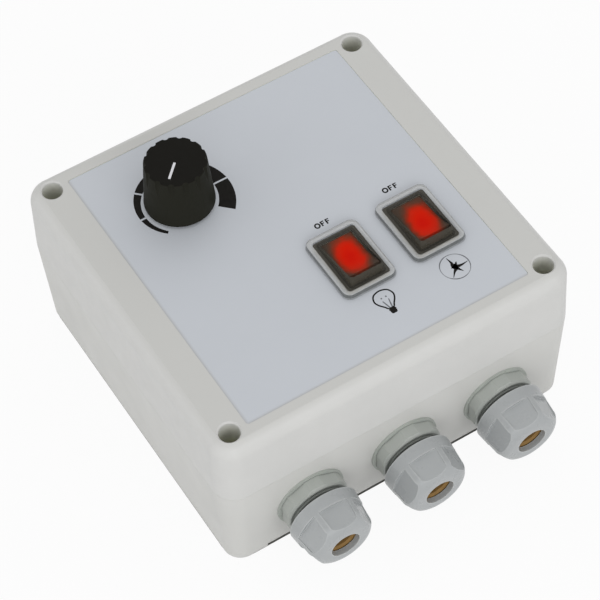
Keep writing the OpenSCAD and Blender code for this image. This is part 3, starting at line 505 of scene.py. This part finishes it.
SCALE_START, SCALE_SWEEP, SCALE_SEGMENTS = 225, 270, 6
SCALE_INNER, SCALE_LOW, SCALE_HIGH = 12.1, 13.1, 17.6
SCALE_GAP = 0.65
SCALE_STEPS = 14


def scale_segment(bm, start, end):
    """One segment of the wedge scale, clockwise from start to end in degrees."""
    near, far = [], []
    for i in range(SCALE_STEPS + 1):
        a = start + (end - start) * i / SCALE_STEPS
        outer = SCALE_LOW + (SCALE_HIGH - SCALE_LOW) * (SCALE_START - a) / SCALE_SWEEP
        for ring, r in ((near, SCALE_INNER), (far, outer)):
            trim = math.degrees(SCALE_GAP / 2 / r)
            ring.append(polar(KNOB_X, KNOB_Y, r, r, max(min(a, start - trim), end + trim)))
    slab(bm, near + far[::-1])


def wedge_scale():
    """Scale round the knob that grows wider clockwise."""
    step = SCALE_SWEEP / SCALE_SEGMENTS
    bm = bmesh.new()
    for k in range(SCALE_SEGMENTS):
        scale_segment(bm, SCALE_START - step * k, SCALE_START - step * (k + 1))
    piece("scale_print", bm, ink)


def off_word(name, cx, cy):
    """The word OFF, centred on cx and cy."""
    half, bar = 0.975, 0.5
    arm, short_arm = 1.3, 1.14
    bm = bmesh.new()
    ring = oval(cx - 1.68, cy, 0.76, half - 0.16, 40)
    ribbon(bm, ring, [bar] * len(ring), closed=True)
    letter_f = [(0, -half), (bar, -half), (bar, -0.16), (short_arm, -0.16), (short_arm, 0.2), (bar, 0.2),
                (bar, half - 0.38), (arm, half - 0.38), (arm, half), (0, half)]
    for left in (cx - 0.42, cx + 1.32):
        slab(bm, [(left + x, cy + y) for x, y in letter_f])
    piece(name, bm, ink)


def bulb_symbol(cx, cy):
    """Outline lamp with a dark screw cap and two filament wires."""
    side = [(1.05, -4.0), (1.6, -3.05), (2.85, -1.35), (3.3, 0.35), (2.35, 2.3)]
    glass = side + [(0, 3.05)] + [(-x, y) for x, y in side[::-1]]
    line = smooth_line([(cx + x, cy + y) for x, y in glass])
    bm = bmesh.new()
    ribbon(bm, line, [0.5] * len(line))
    for k, w in enumerate((1.12, 1.22, 1.12, 0.8)):
        y = cy - 3.9 - 0.62 * k
        thread = [(-w, -0.28), (0.12 - w, -0.52), (w - 0.12, -0.52), (w, -0.28), (w - 0.12, 0), (0.12 - w, 0)]
        slab(bm, [(cx + px, y + py) for px, py in thread])
    core = [(-0.95, -6.1), (0.95, -6.1), (0.95, -4.1), (-0.95, -4.1)]
    slab(bm, [(cx + x, cy + y) for x, y in core], t=INK / 2)
    piece("bulb_print", bm, ink)
    bm = bmesh.new()
    for s in (-1, 1):
        wire = [(0.4, -3.9), (0.7, -2.4), (1.05, -0.8)]
        ribbon(bm, [(cx + s * x, cy + y) for x, y in wire], [0.46, 0.4, 0.3])
        slab(bm, oval(cx + s * 0.8, cy + 0.3, 0.27, 0.27, 12))
    piece("bulb_filament_print", bm, ink_grey)


def fan_symbol(cx, cy):
    """Three swept blades and three short spikes in a thin ring."""
    bm = bmesh.new()
    ring = oval(cx, cy, 4.7, 4.7, 72)
    widths = [0.26 + 0.1 * math.sin(math.radians(15 * i) + 1.1) for i in range(len(ring))]
    ribbon(bm, ring, widths, closed=True)
    piece("fan_ring_print", bm, ink_grey)
    bm = bmesh.new()
    hub = (-0.1, -0.05)
    strokes = [  # points from the hub outwards, width at root and tip, and how fast it narrows
        ([(-0.35, 0.8), (-0.24, 1.8), (-0.56, 3.96)], 2.0, 0.16, 1.1),
        ([(0.6, -0.3), (2.2, -0.5), (4.3, -0.3)], 1.9, 0.16, 1.1),
        ([(-0.3, -0.9), (-1.2, -1.6), (-2.7, -3.3)], 1.9, 0.16, 1.1),
        ([(0.7, 0.7), (1.3, 1.4)], 1.3, 0.12, 0.9),
        ([(0.45, -1.4), (1.26, -2.75)], 1.3, 0.12, 0.9),
        ([(-0.7, 0.05), (-1.4, 0.05)], 1.3, 0.12, 0.9),
    ]
    for points, root, tip, power in strokes:
        line = smooth_line([(cx + x, cy + y) for x, y in [hub] + points])
        last = len(line) - 1
        ribbon(bm, line, [tip + (root - tip) * (1 - i / last) ** power for i in range(last + 1)])
    slab(bm, oval(cx + hub[0], cy + hub[1], 0.95, 0.95, 24), t=INK / 2)
    piece("fan_blades_print", bm, ink)


wedge_scale()
off_word("light_off_word", 7.8, -3.7)
off_word("fan_off_word", 32.6, -3.4)
bulb_symbol(8.25, -37.75)
fan_symbol(32.5, -39.55)


# Clear boots over the switches

# Half width, half depth, corner radius, height and shift of each ring of the rim, and the next band's slot
# Slot 0 is the rim's pale top, 1 its wall in a painted shade, 2 its foot as a painted shadow and 3 the clear
# film.
RIM = [
    (9.5, 12.75, 2.9, 0.0, 0.3, 2), (9.5, 12.75, 2.9, 0.12, 0.3, 2), (9.35, 12.65, 2.75, 0.26, 0.3, 2),
    (9.22, 12.57, 2.6, 0.32, 0.45, 1), (9.2, 12.55, 2.6, 0.6, 0.45, 1), (9.18, 12.53, 2.6, 1.3, 0.45, 1),
    (9.05, 12.4, 2.5, 1.7, 0.45, 0), (8.75, 12.1, 2.3, 1.98, 0.45, 0), (8.35, 11.7, 2.0, 2.1, 0.45, 0),
    (7.95, 11.3, 1.7, 2.06, 0.2, 0), (7.6, 10.95, 1.3, 1.92, 0.2, 0), (7.45, 10.8, 1.1, 1.8, 0.2, 3),
    (6.6, 9.9, 1.0, 1.8, 0.0, 3),
]
FILM_HALF_X, FILM_HALF_Y, FILM_CORNER = 5.35, 8.55, 0.9
FILM_BASE = 2.02
FILM_FRONT, FILM_LENGTH = -8.0, 17.0
FILM_HIGH, FILM_LOW = 5.3, 2.3
SKIRT_FLARE_X, SKIRT_FLARE_Y = 0.65, 0.75
SKIRT_STEPS, SKIRT_BANDS = 5, 6
CORNER_STEPS = SIDE_STEPS = 6


def outline(hx, hy, r, z, cy=0.0):
    """Rounded rectangle of half sizes hx and hy; z is a height or a function of y."""
    centres = [(sx * (hx - r), sy * (hy - r)) for sx, sy in ((1, 1), (-1, 1), (-1, -1), (1, -1))]
    pts = []
    for k, (x, y) in enumerate(centres):
        pts += [polar(x, y, r, r, 90 * k + 90 * i / CORNER_STEPS) for i in range(CORNER_STEPS + 1)]
        start, end = Vector(pts[-1]), Vector(polar(*centres[(k + 1) % 4], r, r, 90 * (k + 1)))
        pts += [tuple(start.lerp(end, i / SIDE_STEPS)) for i in range(1, SIDE_STEPS)]
    return [(x, y + cy, z(y + cy) if callable(z) else z) for x, y in pts]


def film_top(y):
    """Height of the film along the tipped rocker."""
    return FILM_HIGH + (FILM_LOW - FILM_HIGH) * (y - FILM_FRONT) / FILM_LENGTH


def boot(prefix, x):
    """Soft rim round the bezel and a thin film drawn over the rocker, with painted shade on the rim's wall
    and foot and on the film's skirt.
    """
    def at(ring):
        return [(px + x, py + SWITCH_Y, pz + LABEL_TOP) for px, py, pz in ring]
    rim = bmesh.new()
    loft(rim, [at(outline(hx, hy, r, z, cy)) for hx, hy, r, z, cy, _ in RIM], slots=[row[-1] for row in RIM])
    rim_obj = piece(prefix + "_boot_rim", rim, boot_rim, boot_wall_painted_shade, boot_foot_painted_shadow, boot_film)
    film = bmesh.new()
    rings = [outline(6.5, 9.85, 1.0, 1.92), outline(6.2, 9.55, 1.0, 1.98)]
    for k in range(SKIRT_STEPS + 1):
        c, s = polar(0, 0, 1, 1, 90 * k / SKIRT_STEPS)
        rings.append(outline(FILM_HALF_X + SKIRT_FLARE_X * c, FILM_HALF_Y + SKIRT_FLARE_Y * c, FILM_CORNER,
                             lambda y: FILM_BASE + (film_top(y) - FILM_BASE) * s))
    for f in (0.8, 0.55, 0.3, 0.1):
        rings.append(outline(FILM_HALF_X * f, FILM_HALF_Y * f, FILM_CORNER * f, film_top))
    slots = [1 if k < SKIRT_BANDS else 0 for k in range(len(rings) - 1)]
    loft(film, [at(ring) for ring in rings], cap_end=True, slots=slots)
    film_obj = piece(prefix + "_boot_film", film, boot_film, boot_skirt_painted_shade, body=None)
    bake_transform(film_obj)
    for o in (rim_obj, film_obj):
        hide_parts(prefix + "_switch_boot")


boot("light", LIGHT_X)
boot("fan", FAN_X)


# Floor, light and camera, in metres

FLOOR_HALF = 3.0
FLOOR_DROP = 0.0001
PAPER_WHITE = 0.93
AMBIENT = 0.74


def floor():
    """White paper with a painted shadow: dark where it runs in under the box, and where little of the sky is
    open near it.
    """
    bm = bmesh.new()
    corners = [(-FLOOR_HALF, -FLOOR_HALF), (FLOOR_HALF, -FLOOR_HALF), (FLOOR_HALF, FLOOR_HALF),
               (-FLOOR_HALF, FLOOR_HALF)]
    loft(bm, [[(x, y, 0) for x, y in corners]], cap_end=True)
    mesh = bpy.data.meshes.new("floor")
    bm.to_mesh(mesh)
    bm.free()
    obj = bpy.data.objects.new("floor", mesh)
    obj.location.z = -FLOOR_DROP
    scene.collection.objects.link(obj)
    g = Surface("floor_paper")
    g.set(Roughness=0.9, Specular_IOR_Level=0.1)
    place = g.axes(g.place())
    # Painted shadow: inside the box's footprint, or with little open sky nearby, the paper takes a dark
    # colour and no glow.
    squares = []
    for axis, half in FOOT_HALF.items():
        past = g.math("SUBTRACT", g.math("ABSOLUTE", place[axis]), (half - FOOT_CORNER) * MM)
        squares.append(g.math("POWER", g.math("MAXIMUM", past, 0.0), 2.0))
    outside = g.math("GREATER_THAN", g.math("ADD", *squares), (FOOT_CORNER * MM) ** 2)
    lit = g.math("MULTIPLY", g.open_sky(3, 0.2, 0.5, 16), outside)
    paper = g.patches(60, srgb(222, 222, 222), srgb(226, 226, 226), edge=0.3)
    g.link(g.mix(lit, srgb(120, 120, 115), paper), g.bsdf.inputs["Base Color"])
    glow = g.add("ShaderNodeEmission")
    glow.inputs["Strength"].default_value = 1.0
    share = g.math("MULTIPLY", g.math("MULTIPLY", g.seen(), PAPER_WHITE), lit)
    g.show("Material Output", share, g.bsdf.outputs["BSDF"], glow.outputs["Emission"])
    mesh.materials.append(g.mat)


def world():
    """Even light from all round, and plain white where the eye sees it."""
    studio = bpy.data.worlds.new("studio")
    scene.world = studio
    studio.use_nodes = True
    g = Nodes(studio.node_tree)
    ambient = g.tree.nodes["Background"]
    white = g.add("ShaderNodeBackground")
    for node, strength in ((ambient, AMBIENT), (white, 1.0)):
        node.inputs["Color"].default_value = (1, 1, 1, 1)
        node.inputs["Strength"].default_value = strength
    g.show("World Output", g.seen(), ambient.outputs["Background"], white.outputs["Background"])


def softbox(name, place, target, size, watts):
    data = bpy.data.lights.new(name, "AREA")
    data.shape = "RECTANGLE"
    data.size, data.size_y = size
    data.energy = watts
    obj = bpy.data.objects.new(name, data)
    obj.location = place
    obj.rotation_euler = (Vector(target) - Vector(place)).to_track_quat("-Z", "Y").to_euler()
    scene.collection.objects.link(obj)


def camera(place, aim, roll, lens):
    """Camera at place that looks at aim; roll in degrees, lens in millimetres."""
    data = bpy.data.cameras.new("camera")
    data.sensor_width = 36.0
    data.lens = lens
    data.clip_start = 0.01
    obj = bpy.data.objects.new("camera", data)
    turn = (Vector(aim) - Vector(place)).to_track_quat("-Z", "Y").to_matrix().to_4x4()
    obj.matrix_world = Matrix.Translation(place) @ turn @ Matrix.Rotation(math.radians(roll), 4, "Z")
    scene.collection.objects.link(obj)
    scene.camera = obj


floor()
world()
softbox("key", (-0.2, -1.1, 0.6), (0, 0, 0.04), (1.4, 0.6), 5.2)
softbox("left", (-1.2, 0, 0.28), (0, 0, 0.28), (2.4, 0.56), 2.2)
softbox("rear", (0.3, 0.35, 0.5), (0, 0, 0.04), (0.5, 0.5), 0.3)
camera((-0.228124, -0.412501, 0.663439), (-0.012828, -0.024105, 0.060), -3.52, 150.51)
